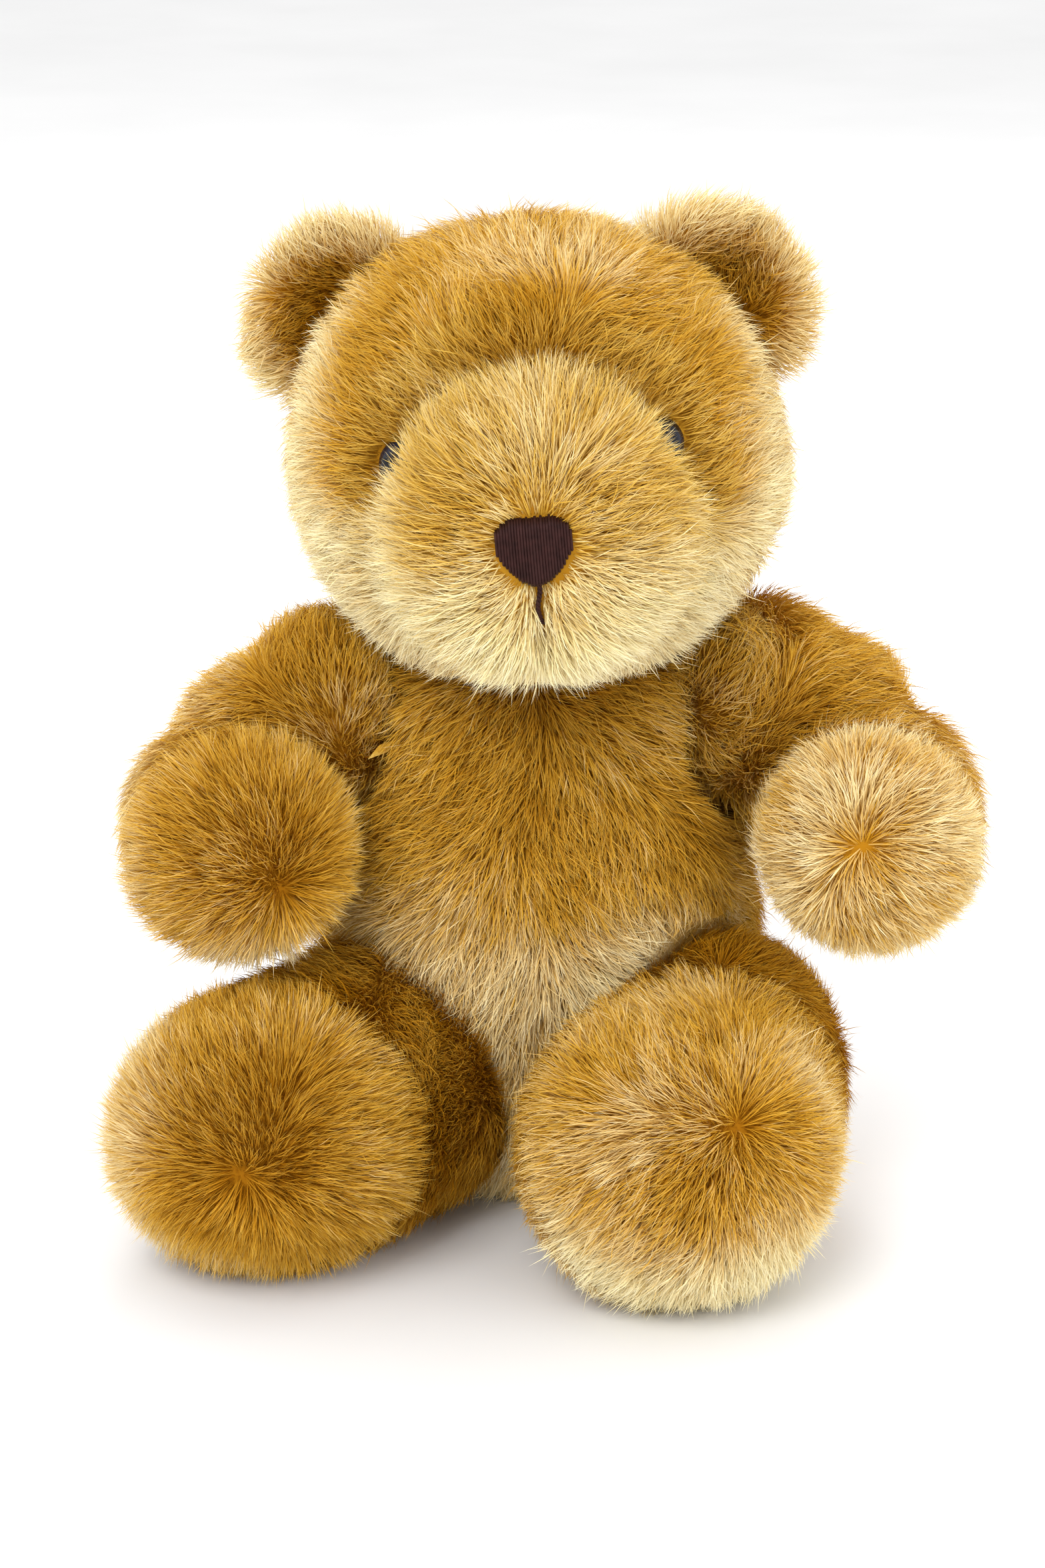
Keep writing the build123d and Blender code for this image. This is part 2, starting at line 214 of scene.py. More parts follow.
def read_mesh(mesh):
    """A mesh's points, edges and quads as arrays."""
    points = np.empty(len(mesh.vertices) * 3, np.float32)
    mesh.vertices.foreach_get("co", points)
    edges = np.empty(len(mesh.edges) * 2, np.int32)
    mesh.edges.foreach_get("vertices", edges)
    quads = np.empty(len(mesh.loops), np.int32)
    mesh.loops.foreach_get("vertex_index", quads)
    return points.reshape(-1, 3).astype(float), edges.reshape(-1, 2), quads.reshape(-1, 4)


def unit(vectors):
    """Vectors made one long."""
    return vectors / np.maximum(np.linalg.norm(vectors, axis=-1, keepdims=True), 1e-12)


def point_normals(points, quads):
    """The outward direction at each point, from the quads round it."""
    corner = points[quads]
    across = np.cross(corner[:, 2] - corner[:, 0], corner[:, 3] - corner[:, 1])
    return unit(gathered(quads.ravel(), np.repeat(across, 4, axis=0), len(points)))


def stuffed_form(nodes, rounds, swell):
    """The smooth outer form of some CAD nodes, swollen by the stuffing: points, normals, quads, edges."""
    joined = bmesh.new()
    for node in nodes:
        joined.from_mesh(frame["nodes"][node].data)
    mesh = bpy.data.meshes.new("form")
    joined.to_mesh(mesh)
    joined.free()
    form = bpy.data.objects.new("form", mesh)
    bpy.context.scene.collection.objects.link(form)
    remesh = form.modifiers.new("remesh", "REMESH")
    remesh.mode = "VOXEL"
    remesh.voxel_size = VOXEL
    points, edges, quads = read_mesh(evaluated_mesh(form))
    bpy.data.objects.remove(form)
    kept = whole_part(edges, len(points))
    number = np.cumsum(kept) - 1
    quads = number[quads[kept[quads[:, 0]]]]
    edges = number[edges[kept[edges[:, 0]]]]
    points = relaxed(points[kept], edges, rounds)
    normals = point_normals(points, quads)
    return points + normals * swell, normals, quads, edges


def flat_joint(name, child_side):
    """A disc joint as its middle and the direction towards the limb, or towards the torso."""
    joint = joints[name]
    middle = np.array(joint["pos_m"], float)
    low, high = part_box(bodies[joint["child"]][0])
    limb = (np.array(low) + np.array(high)) / 2
    axis = unit(np.array(joint["axis"], float))
    outward = axis * np.sign(axis @ (limb - middle))
    return middle, outward if child_side else -outward


def joint_face(name):
    """The radius of a limb's flat face at its joint."""
    middle, outward = flat_joint(name, True)
    widest = 0.0
    for node in bodies[joints[name]["child"]]:
        if node.endswith(("_panel", "_sole")):
            away = np.array([v.co for v in frame["nodes"][node].data.vertices]) - middle
            depth = away @ outward
            flat = away[depth < 2 * JOINT_GAP] - depth[depth < 2 * JOINT_GAP, None] * outward
            widest = max(widest, *np.linalg.norm(flat, axis=1), 0.0) if len(flat) else widest
    return widest


LIMB_JOINTS = ("right_shoulder", "left_shoulder", "right_hip", "left_hip")
joint_faces = {name: joint_face(name) for name in LIMB_JOINTS}


def keep_behind(points, middle, facing, gap, reach=None):
    """Points moved back onto a joint's plane where they cross it, all of them or those near the joint."""
    away = points - middle
    depth = away @ facing
    near = np.linalg.norm(away - depth[..., None] * facing, axis=-1) < (reach or 1e9)
    short = np.where(near, np.maximum(gap - depth, 0), 0)
    return points + short[..., None] * facing


def keep_off_floor(points):
    """Points kept just above what the bear sits on."""
    points[..., 2] = np.maximum(points[..., 2], FLOOR_GAP)
    return points


def waves(points, length, seed, count=14):
    """A smooth random field over space, and its slope, with bumps about half a length across."""
    draw = np.random.default_rng(seed)
    direction = unit(draw.normal(size=(count, 3)))
    pitch = direction * (2 * math.pi / (length * draw.uniform(0.7, 1.4, (count, 1))))
    phase = points @ pitch.T + draw.uniform(0, 2 * math.pi, count)
    size = math.sqrt(2 / count)
    return np.sin(phase).sum(1) * size, (np.cos(phase) @ (pitch * length)) * size / (2 * math.pi)


def fade(value, start, end):
    """A smooth step from 0 at start to 1 at end."""
    part = np.clip((value - start) / (end - start), 0, 1)
    return part * part * (3 - 2 * part)


def plush_material(name, deep, golden, pale):
    """Pile whose colour runs from its root to its tip, from deep hairs through golden to pale ones."""
    material, tree, shader = new_material(name)
    lie = tree.nodes.new("ShaderNodeUVMap")
    lie.uv_map = "OFBake"
    apart = tree.nodes.new("ShaderNodeSeparateXYZ")
    tree.links.new(lie.outputs["UV"], apart.inputs["Vector"])
    colour = colour_ramp(tree, apart.outputs["Y"], deep)
    for stops, start in ((golden, 0.0), (pale, 0.5)):
        share = tree.nodes.new("ShaderNodeMapRange")
        share.inputs["From Min"].default_value = start
        share.inputs["From Max"].default_value = start + 0.5
        tree.links.new(apart.outputs["X"], share.inputs["Value"])
        mix = tree.nodes.new("ShaderNodeMix")
        mix.data_type = "RGBA"
        tree.links.new(share.outputs["Result"], mix.inputs["Factor"])
        tree.links.new(colour, mix.inputs["A"])
        tree.links.new(colour_ramp(tree, apart.outputs["Y"], stops), mix.inputs["B"])
        colour = mix.outputs["Result"]
    tree.links.new(colour, shader.inputs["Base Color"])
    shader.inputs["Roughness"].default_value = 0.7
    shader.inputs["Specular IOR Level"].default_value = 0.05
    return material


gold_plush = plush_material(
    "golden_plush",
    [(0.0, (0.29, 0.10, 0.001)), (0.45, (0.38, 0.145, 0.002)),
     (0.8, (0.45, 0.19, 0.004)), (1.0, (0.56, 0.29, 0.012))],
    [(0.0, (0.50, 0.23, 0.010)), (0.45, (0.62, 0.32, 0.022)),
     (0.8, (0.70, 0.40, 0.045)), (1.0, (0.82, 0.58, 0.15))],
    [(0.0, (0.80, 0.58, 0.20)), (0.45, (0.92, 0.76, 0.38)),
     (0.8, (0.97, 0.87, 0.54)), (1.0, (0.99, 0.95, 0.74))])

HAIRS_PER_MM2 = 2.4
MOST_HAIRS = 38500
HAIR_HALF = 0.17 * MM
ROOT_DEPTH = 0.3 * MM
DRIFT = 46 * MM
TUFT = 6.5 * MM
SMALL_TUFT = 2.8 * MM
SHADE_PATCH = 34 * MM
SHADE_SEED = 90
LEVELS = np.array([0.0, 0.0, 1 / 3, 1 / 3, 2 / 3, 2 / 3, 1.0])
TAPER = np.array([1.0, 0.92, 0.66])
SHADE_STEP = 0.002


def planted(points, normals, quads, number, draw):
    """Places spread evenly over some quads, with the normal at each."""
    triangles = np.concatenate([quads[:, [0, 1, 2]], quads[:, [0, 2, 3]]])
    corner = points[triangles]
    area = np.linalg.norm(np.cross(corner[:, 1] - corner[:, 0], corner[:, 2] - corner[:, 0]), axis=1) / 2
    number = min(MOST_HAIRS, int(number * area.sum() / MM ** 2))
    step = (np.arange(number) + draw.random(number)) / number
    chosen = np.searchsorted(np.cumsum(area) / area.sum(), step).clip(0, len(area) - 1)
    first, second = np.sqrt(draw.random(number)), draw.random(number)
    share = np.stack([1 - first, first * (1 - second), first * second], 1)[:, :, None]
    return (points[triangles[chosen]] * share).sum(1), unit((normals[triangles[chosen]] * share).sum(1))


def pile(places, normals, flow, length, lean, draw, seed, unruly=0.30):
    """Hairs as tapering blades: each leaves its place at the first lean and lies over to the last."""
    number = len(places)
    _, drift = waves(places, DRIFT, seed + 2)
    flow = unit(flow) + 0.5 * drift
    tuft, pull = waves(places, TUFT, seed)
    small, small_pull = waves(places, SMALL_TUFT, seed + 1)
    lie = flow - (flow * normals).sum(1, keepdims=True) * normals
    lie = unit(lie) + unruly * draw.normal(size=(number, 3)) + 0.09 * pull + 0.05 * small_pull
    lie = unit(lie - (lie * normals).sum(1, keepdims=True) * normals)
    spread = draw.normal(0, 7, number)
    length = length * (1 + 0.10 * tuft + 0.14 * draw.normal(size=number)).clip(0.5, 1.35)
    wild = draw.random(number) < 0.012
    length = np.where(wild, length * 1.22, length)
    spine = [places - ROOT_DEPTH * normals]
    for degrees in (lean[0], (lean[0] + lean[1]) / 2, lean[1]):
        angle = np.radians(degrees + spread)
        angle = np.clip(np.where(wild, angle * 0.75, angle), 0.05, 1.5)[:, None]
        spine.append(spine[-1] + length[:, None] / 3 * (np.cos(angle) * normals + np.sin(angle) * lie))
    along = unit(spine[3] - spine[0])
    across = unit(np.cross(along, normals) + 1e-6)
    twist = np.radians(draw.normal(0, 50, number))[:, None]
    across = np.cos(twist) * across + np.sin(twist) * np.cross(along, across)
    half = HAIR_HALF * draw.uniform(0.7, 1.25, number)[:, None]
    rows = []
    for level in range(3):
        rows += [spine[level] - half * TAPER[level] * across, spine[level] + half * TAPER[level] * across]
    return np.stack([*rows, spine[3]], 1), tuft, small


def plush_piece(name, form, faces, comb, clear, material, seed):
    """One sewn panel of plush: its backing and its combed pile, as one mesh."""
    points, normals, quads, _ = form
    draw = np.random.default_rng(seed)
    thin = 1.0
    places, out = planted(points, normals, quads[faces], HAIRS_PER_MM2 * thin, draw)
    flow, length, lean, shade, bare = comb(places, out)
    keep = ~bare
    places, out, flow = places[keep], out[keep], flow[keep]
    length, shade = length[keep], shade[keep]
    lean = [np.broadcast_to(part, keep.shape)[keep] for part in lean]
    blades, tuft, small = pile(places, out, flow, length, lean, draw, seed // 10 * 10)
    number = len(blades)
    blades = clear(blades.reshape(-1, 3)).reshape(number, 7, 3)
    patch, _ = waves(places, SHADE_PATCH, SHADE_SEED)
    shade = shade + 0.07 * patch + 0.05 * tuft + 0.03 * small + 0.09 * draw.normal(size=number)
    shade = np.clip(shade, 0.02, 0.98)
    used, renumbered = np.unique(quads[faces], return_inverse=True)
    backing = renumbered.reshape(-1, 4)
    start = len(used) + np.arange(number)[:, None] * 7
    lower = start + np.array([0, 1, 3, 2])
    upper = start + np.array([2, 3, 5, 4])
    tip = start + np.array([4, 5, 6])
    loops = np.concatenate([backing.ravel(), lower.ravel(), upper.ravel(), tip.ravel()]).astype(np.int32)
    sizes = np.concatenate([np.full(len(backing) + 2 * number, 4), np.full(number, 3)])
    mesh = bpy.data.meshes.new(name)
    corners = np.concatenate([points[used], blades.reshape(-1, 3)]).astype(np.float32)
    mesh.vertices.add(len(corners))
    mesh.vertices.foreach_set("co", corners.ravel())
    mesh.loops.add(len(loops))
    mesh.loops.foreach_set("vertex_index", loops)
    mesh.polygons.add(len(sizes))
    mesh.polygons.foreach_set("loop_start", (np.cumsum(sizes) - sizes).astype(np.int32))
    mesh.polygons.foreach_set("use_smooth", np.ones(len(sizes), bool))
    mesh.update(calc_edges=True)
    backing_patch, _ = waves(points[used], SHADE_PATCH, SHADE_SEED)
    backing_lie = np.stack([0.2 + 0.05 * backing_patch, 0.06 + 0.02 * backing_patch], 1)
    sides = np.array([-1, 1, -1, 1, -1, 1, 0]) * SHADE_STEP
    hair_lie = np.stack([shade[:, None] + sides, np.broadcast_to(LEVELS, (number, 7))], 2)
    lie = np.concatenate([backing_lie, hair_lie.reshape(-1, 2)])
    layer = mesh.uv_layers.new(name="OFBake")
    layer.uv.foreach_set("vector", lie[loops].astype(np.float32).ravel())
    mesh.materials.append(material)
    piece = bpy.data.objects.new(name, mesh)
    bpy.context.scene.collection.objects.link(piece)
    return piece


def nearest_panel(form, nodes):
    """For each quad of a form, the number of the CAD panel that it lies on."""
    points, _, quads, _ = form
    middles = points[quads].mean(1)
    away = []
    for node in nodes:
        mesh = frame["nodes"][node].data
        tree = BVHTree.FromPolygons([v.co for v in mesh.vertices], [p.vertices for p in mesh.polygons])
        away.append([tree.find_nearest(Vector(middle))[3] for middle in middles])
    return np.argmin(np.array(away), 0)


def dress(body, nodes, form, comb, clear, slot, material, seed):
    """Every sewn panel of one form, each standing for its CAD panel and riding on its body."""
    owner = nearest_panel(form, nodes)
    one_cloth = isinstance(slot, str)
    for number, node in enumerate(nodes):
        name = node.replace("_panel", "") + "_plush"
        where = owner == number
        panel_material = material if one_cloth else material[node]
        piece = plush_piece(name, form, where, comb, clear, panel_material, seed + number)
        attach(piece, body)
        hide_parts(node)


FILL_DEPTH = 2.0 * MM
LUMP = 0.5 * MM


def stuff(body, form, node, seed):
    """The loose fibre inside one form, a little lumpy under the cloth."""
    points, normals, quads, _ = form
    lumps, _ = waves(points, 16 * MM, seed)
    mesh = bpy.data.meshes.new(f"{body}_fill")
    inner = points - normals * (FILL_DEPTH + LUMP * lumps)[:, None]
    mesh.from_pydata(inner.tolist(), [], quads.tolist())
    mesh.materials.append(fibre_fill)
    fill = bpy.data.objects.new(f"{body}_fill", mesh)
    bpy.context.scene.collection.objects.link(fill)
    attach(fill, body)
    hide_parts(node)


def joint_bare(places, name, hole=9 * MM):
    """Which places lie on a joint's flat face or in its bolt hole, where there is no pile."""
    middle, outward = flat_joint(name, True)
    away = places - middle
    depth = np.abs(away @ outward)
    radial = np.linalg.norm(away - (away @ outward)[:, None] * outward, axis=1)
    return (depth < 1.6 * MM) & (radial < 0.8 * joint_faces[name]) | (depth < 22 * MM) & (radial < hole)


torso_panels = [f"torso_{part}_{side}_panel" for part in ("front", "back") for side in ("right", "left")]
torso_low, torso_high = (np.array(corner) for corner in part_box("torso_stuffing"))
neck_height = joints["neck"]["pos_m"][2]
torso = stuffed_form([*torso_panels, "torso_stuffing"], 26, 1.0 * MM)


def torso_clear(points, gap=JOINT_GAP, share=None):
    """The torso's points kept behind its joints' planes, under the neck and off the floor."""
    for name in LIMB_JOINTS:
        points = keep_behind(points, *flat_joint(name, False), gap, share and share * joint_faces[name])
    points[..., 2] = np.minimum(points[..., 2], neck_height - gap)
    return keep_off_floor(points)


torso = (torso_clear(torso[0]), *torso[1:])


def comb_torso(places, out):
    """Down and outward from the middle seam, paler and longer low on the belly; painted shade under the chin
    and by the arms.
    """
    x, y, z = places.T
    side = np.tanh(x / (6 * MM))
    height = (z - torso_low[2]) / (torso_high[2] - torso_low[2])
    flow = np.stack([side * (0.30 + 0.5 * height), -0.05 * np.ones_like(x), -np.ones_like(x)], 1)
    length = (12.0 + 2.0 * fade(height, 0.5, 0.2)) * MM
    seam = np.exp(-(x / (5 * MM)) ** 2)
    belly = fade(height, 0.70, 0.48) * fade(y, 0.0, -25 * MM)
    # Painted shade: darker on the sides where the arms meet the torso.
    beside = fade(np.abs(x), 34 * MM, 52 * MM) * fade(height, 0.4, 0.6)
    # Painted shade: darker high on the front of the chest, under the chin.
    chin_shadow = fade(height, 0.72, 0.92) * fade(y, 0.0, -20 * MM)
    shade = 0.40 + 0.40 * belly - 0.10 * seam * fade(height, 0.5, 0.7) - 0.06 * chin_shadow - 0.10 * beside
    bare = np.zeros(len(x), bool)
    for name in LIMB_JOINTS:
        bare |= joint_bare(places, name)
    bare |= z > neck_height - 1.6 * MM
    bare |= (z < 1.5 * MM) & (out[:, 2] < -0.8)
    return flow, length, (28.0, 74.0), shade, bare


def torso_fur_clear(points):
    """The torso's pile laid back near each joint."""
    return torso_clear(points, FUR_GAP, 1.02)


stuff("torso", torso, "torso_stuffing", 11)
dress("torso", torso_panels, torso, comb_torso, torso_fur_clear, "fur_gold", gold_plush, 100)


# ---- Head ----
# Two sides and a gusset over the crown, with a paler muzzle sewn on in front. The pile is brushed
# back from the nose all round, up over the forehead from a part, and down over the cheeks.

cream_plush = plush_material(
    "cream_plush",
    [(0.0, (0.33, 0.125, 0.002)), (0.45, (0.43, 0.18, 0.005)),
     (0.8, (0.50, 0.24, 0.010)), (1.0, (0.62, 0.36, 0.03))],
    [(0.0, (0.54, 0.28, 0.020)), (0.45, (0.66, 0.39, 0.05)),
     (0.8, (0.74, 0.48, 0.09)), (1.0, (0.86, 0.66, 0.24))],
    [(0.0, (0.78, 0.58, 0.20)), (0.45, (0.90, 0.76, 0.38)),
     (0.8, (0.96, 0.87, 0.54)), (1.0, (0.99, 0.95, 0.74))])

HEAD_LEAN = math.radians(5)
MUZZLE_REACH = 53 * MM
NOSE_DROP = 2 * MM
head_panels = ["head_gusset", "head_right_panel", "head_left_panel", "muzzle_panel"]
nose_low, nose_high = (np.array(corner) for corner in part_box("nose"))
nose_middle = (nose_low + nose_high) / 2 - np.array([0, 0, NOSE_DROP])
muzzle_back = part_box("muzzle_panel")[1][1]
head_low, head_high = (np.array(corner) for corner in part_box("head_stuffing"))
head_middle = (head_low + head_high) / 2


def eye_middle(side):
    """The middle of an eye's dome, which stands out from the head."""
    points = np.array([v.co for v in frame["nodes"][f"{side}_eye"].data.vertices])
    outward = unit(points.mean(0) - head_middle)
    along = points @ outward
    return points[along > along.max() - 4.5 * MM].mean(0)


eyes = {side: eye_middle(side) for side in ("right", "left")}
head = stuffed_form([*head_panels, "head_stuffing"], 22, 0.9 * MM)


def head_clear(points, gap=JOINT_GAP):
    """The head's points kept above the neck."""
    points[..., 2] = np.maximum(points[..., 2], neck_height + gap)
    return points


def shape_head(form):
    """Fuller cheeks, a flatter crown, a fold behind the muzzle, and a cleft from nose to chin."""
    points, normals, quads, edges = form
    x = points[:, 0] - nose_middle[0]
    below = nose_low[2] - points[:, 2]
    front = fade(points[:, 1], muzzle_back, muzzle_back - 16 * MM)
    aside = x - math.tan(HEAD_LEAN) * (nose_middle[2] - points[:, 2])
    cleft = np.exp(-(aside / (3.5 * MM)) ** 2) * fade(below, -4 * MM, 4 * MM) * front
    points = points - normals * (2.2 * MM * cleft)[:, None]
    cheek = np.exp(-((points[:, 2] - nose_low[2]) / (18 * MM)) ** 2) * fade(np.abs(x), 20 * MM, 50 * MM)
    points[:, 0] += (np.sign(x) * 1.6 + 1.6) * MM * cheek
    gap = np.linalg.norm(points - nose_middle, axis=1)
    fold = np.exp(-((gap - MUZZLE_REACH) / (6 * MM)) ** 2) * fade(-below, 10 * MM, 24 * MM)
    points = points - normals * (3.2 * MM * fold)[:, None]
    crown = fade(points[:, 2], head_high[2] - 14 * MM, head_high[2])
    points[:, 2] -= 2.0 * MM * crown
    return head_clear(points), point_normals(points, quads), quads, edges


head = shape_head(head)


def comb_head(places, out):
    """Back from the nose all round, parted over the forehead, and down behind."""
    x, y, z = (places - nose_middle).T
    away = unit(places - nose_middle)
    on_muzzle = fade(y, 40 * MM, 30 * MM)
    down = fade(y, 60 * MM, 110 * MM)
    crown = fade(z, 25 * MM, 45 * MM) * (1 - down)
    flow = away * (1 - down)[:, None]
    flow[:, 2] -= down * 1.0
    flow[:, 0] += crown * np.tanh(x / (8 * MM)) * 0.75
    below = fade(z, -6 * MM, -14 * MM) * on_muzzle
    flow[:, 0] += below * np.tanh(x / (3 * MM)) * 0.8
    gap = np.linalg.norm(places - nose_middle, axis=1)
    length = (11.5 + 2.5 * on_muzzle) * MM * (0.45 + 0.55 * fade(gap, 9 * MM, 26 * MM))
    rise = 24 - 4 * on_muzzle + 30 * fade(gap, 24 * MM, 11 * MM)
    lay = 70 - 6 * on_muzzle
    fold = np.exp(-((gap - MUZZLE_REACH) / (7 * MM)) ** 2) * fade(z, -8 * MM, 8 * MM)
    length = length * (1 - 0.3 * fold)
    # Painted rim light: paler low on the cheeks and at the sides of the head.
    rim_light = fade(z, 12 * MM, -22 * MM) + 0.8 * fade(np.abs(x), 42 * MM, 60 * MM)
    upper = fade(z, -8 * MM, 8 * MM)
    beyond = fade(gap, 48 * MM, 54 * MM) * upper
    # Painted shade: darker in the fold just behind the muzzle's upper edge.
    brow_shadow = beyond * fade(gap, 84 * MM, 58 * MM) * fade(np.abs(x), 56 * MM, 40 * MM)
    edge = np.exp(-((gap - 42 * MM) / (7 * MM)) ** 2)
    # Painted light: paler over the top of the head.
    crest_light = fade(z, 50 * MM, 64 * MM)
    rim_light = np.minimum(rim_light, 1) * fade(y, 120 * MM, 70 * MM)
    shade = 0.49 - 0.01 * beyond - 0.22 * brow_shadow + 0.12 * edge * upper + 0.42 * rim_light + 0.12 * crest_light
    bare = np.zeros(len(x), bool)
    wide, tall = (nose_high[0] - nose_low[0]) / 2, (nose_high[2] - nose_low[2]) / 2
    aside = np.abs(x + z * math.tan(HEAD_LEAN))
    by_mouth = fade(z, -0.7 * tall, -0.8 * tall) * fade(z, -tall - 18 * MM, -tall - 13 * MM)
    by_mouth *= fade(y, 30 * MM, 24 * MM)
    length = length * (1 - 0.5 * by_mouth * fade(aside, 5 * MM, 1 * MM))
    bare |= (aside < 0.9 * MM) & (by_mouth > 0.5)
    bare |= ((x / wide) ** 2 + (z / tall) ** 2 < 0.85) & (y < 20 * MM)
    for middle in eyes.values():
        beside = np.linalg.norm(places - middle, axis=1)
        bare |= beside < 7.6 * MM
        length = length * (0.72 + 0.28 * fade(beside, 8 * MM, 16 * MM))
    bare |= places[:, 2] < neck_height + 1.6 * MM
    return flow, length, (rise, lay), shade, bare


def head_fur_clear(points):
    """The head's pile kept above the neck."""
    return head_clear(points, FUR_GAP)


head_slots = {node: "fur_gold" for node in head_panels[:3]} | {"muzzle_panel": "fur_cream"}
head_plush = {node: gold_plush for node in head_panels[:3]} | {"muzzle_panel": cream_plush}
stuff("head", head, "head_stuffing", 12)
dress("head", head_panels, head, comb_head, head_fur_clear, head_slots, head_plush, 200)


# ---- Ears ----
# Each ear is two round panels sewn back to back and turned, then stitched to the head's side seam
# so that its front cups forward. The hollow is darkened with painted shade and the rim is paled with
# painted rim light.

EAR_CUP = 7 * MM


def build_ear(side, shift, seed):
    """One cupped ear, front and back, settled outward by its seam."""
    nodes = [f"{side}_ear_front", f"{side}_ear_back"]
    low = np.minimum(*(np.array(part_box(node)[0]) for node in nodes))
    high = np.maximum(*(np.array(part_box(node)[1]) for node in nodes))
    middle, half = (low + high) / 2, (high - low) / 2
    points, _, quads, edges = stuffed_form(nodes, 8, 0.8 * MM)
    round_from = (points - middle) / half
    reach = np.sqrt(round_from[:, 0] ** 2 + round_from[:, 2] ** 2)
    cup = EAR_CUP * (1 - fade(reach, 0.15, 0.95)) * fade(round_from[:, 1], 0.9, -0.2)
    points[:, 1] += cup
    points = points + np.array(shift) * MM
    form = points, point_normals(points, quads), quads, edges
    base = np.array([head_middle[0], middle[1], head_middle[2]])
    foot = middle + unit(base - middle) * half[0] * 0.9 + np.array(shift) * MM
    middle = middle + np.array(shift) * MM

    def comb_ear(places, out):
        """From the ear's foot out to its rim."""
        flow = places - foot
        near = np.linalg.norm(places - middle, axis=1) / half[0]
        front = fade(out[:, 1], 0.1, -0.5)
        hollow = front * fade(near, 0.95, 0.35)
        deep = fade(np.linalg.norm(places - foot, axis=1), 36 * MM, 14 * MM)
        # Painted rim light towards the rim, and painted shade deep in the front hollow.
        shade = 0.50 + 0.36 * fade(near, 0.55, 0.95) - 0.60 * hollow * deep
        length = (10.5 - 2.5 * hollow) * MM
        return flow, length * np.ones(len(places)), (32.0, 66.0), shade, np.zeros(len(places), bool)

    dress("head", nodes, form, comb_ear, lambda points: points, "fur_gold", gold_plush, seed)


build_ear("right", (-3.5, 0, -2), 300)
build_ear("left", (7, 0, -5), 310)


# ---- Eyes ----
# Round safety eyes of polished near-black plastic, with a blue cast where the light catches them.

def eye_finish():
    """Deep glossy plastic, clouded blue-black inside."""
    material, tree, shader = new_material("polished_eye")
    mottle = tree.nodes.new("ShaderNodeGroup")
    mottle.node_tree = grain
    mottle.inputs["Patch scale"].default_value = 160.0
    mottle.inputs["Fibre scale"].default_value = 900.0
    mottle.inputs["Stretch"].default_value = (1, 1, 1)
    stops = [(0.35, (0.006, 0.006, 0.008)), (0.65, (0.012, 0.016, 0.035))]
    tree.links.new(colour_ramp(tree, mottle.outputs["Patches"], stops), shader.inputs["Base Color"])
    shader.inputs["Roughness"].default_value = 0.08
    shader.inputs["Specular IOR Level"].default_value = 0.25
    return material


finish_nodes(eye_finish(), "right_eye", "left_eye")


# ---- Nose and mouth ----
# The nose is a felt pad covered in upright satin stitches of dark brown thread. One strand of the
# same thread runs down from it and makes the mouth.

THREAD_HALF = 0.42 * MM
STITCHES = 27
PLY_HALF = 0.45 * MM
PLY_TURN = 0.34 * MM
MOUTH_STAND = 2.2 * MM


def thread_material():
    """Dark satin thread with fine lengthwise fibres."""
    return hard_finish("nose_thread", [(0.3, (0.022, 0.006, 0.005)), (0.7, (0.045, 0.014, 0.012))],
                       (0.4, 0.6), specular=0.16, patch=500.0, fibre=2600.0, stretch=(6, 6, 0.6),
                       height=0.6)


def tube(spine, radius, around=6):
    """A round strand along a spine: its points and faces."""
    spine = np.array(spine)
    along = unit(np.gradient(spine, axis=0))
    across = unit(np.cross(along, np.array([0.0, -1.0, 0.0])))
    upward = np.cross(across, along)
    angle = np.arange(around) * 2 * math.pi / around
    cosine, sine = np.cos(angle)[:, None], np.sin(angle)[:, None]
    rings = [spine[i] + radius[i] * (cosine * across[i] + sine * upward[i]) for i in range(len(spine))]
    faces = []
    for low in range(0, (len(spine) - 1) * around, around):
        for corner in range(around):
            beside = (corner + 1) % around
            faces.append((low + corner, low + beside, low + around + beside, low + around + corner))
    faces += [tuple(reversed(range(around))), tuple(range((len(spine) - 1) * around, len(spine) * around))]
    return np.concatenate(rings), faces


def strands(name, parts, material):
    """Several strands as one piece."""
    points, faces, start = [], [], 0
    for spine, radius in parts:
        some, these = tube(spine, radius)
        points.append(some)
        faces += [tuple(start + corner for corner in face) for face in these]
        start += len(some)
    mesh = bpy.data.meshes.new(name)
    mesh.from_pydata(np.concatenate(points).tolist(), [], faces)
    mesh.polygons.foreach_set("use_smooth", np.ones(len(mesh.polygons), bool))
    mesh.materials.append(material)
    piece = bpy.data.objects.new(name, mesh)
    bpy.context.scene.collection.objects.link(piece)
    return piece


thread = thread_material()
nose_half = (nose_high - nose_low) / 2


def nose_point(across, up):
    """A place on the nose pad, across and up being -1 to 1 of its width and height."""
    dome = 1 - 0.55 * across ** 2 - 0.35 * up ** 2
    x = nose_middle[0] + across * nose_half[0] - math.sin(HEAD_LEAN) * up * nose_half[2]
    z = nose_middle[2] + up * nose_half[2] + math.sin(HEAD_LEAN) * across * nose_half[0]
    return [x, nose_low[1] + 4.4 * MM - 5.4 * MM * dome, z]


def nose_stitches():
    """Upright stitches side by side, longest in the middle, rounding into the pad's edge."""
    parts = []
    draw = np.random.default_rng(7)
    for number in range(STITCHES):
        across = -1 + 2 * (number + 0.5) / STITCHES
        top = 0.98 - 0.42 * across ** 4
        bottom = -1.0 + 1.02 * abs(across) ** 1.9
        ups = np.linspace(bottom + draw.uniform(-0.03, 0.03), top + draw.uniform(-0.03, 0.03), 14)
        spine = np.array([nose_point(across * 0.97, up) for up in ups])
        spine[0, 1] += 2.4 * MM
        spine[-1, 1] += 2.4 * MM
        parts.append((spine, np.full(14, THREAD_HALF * draw.uniform(0.92, 1.1))))
    return parts


nose = strands("nose_stitches", nose_stitches(), thread)
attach(nose, "head")
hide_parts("nose")


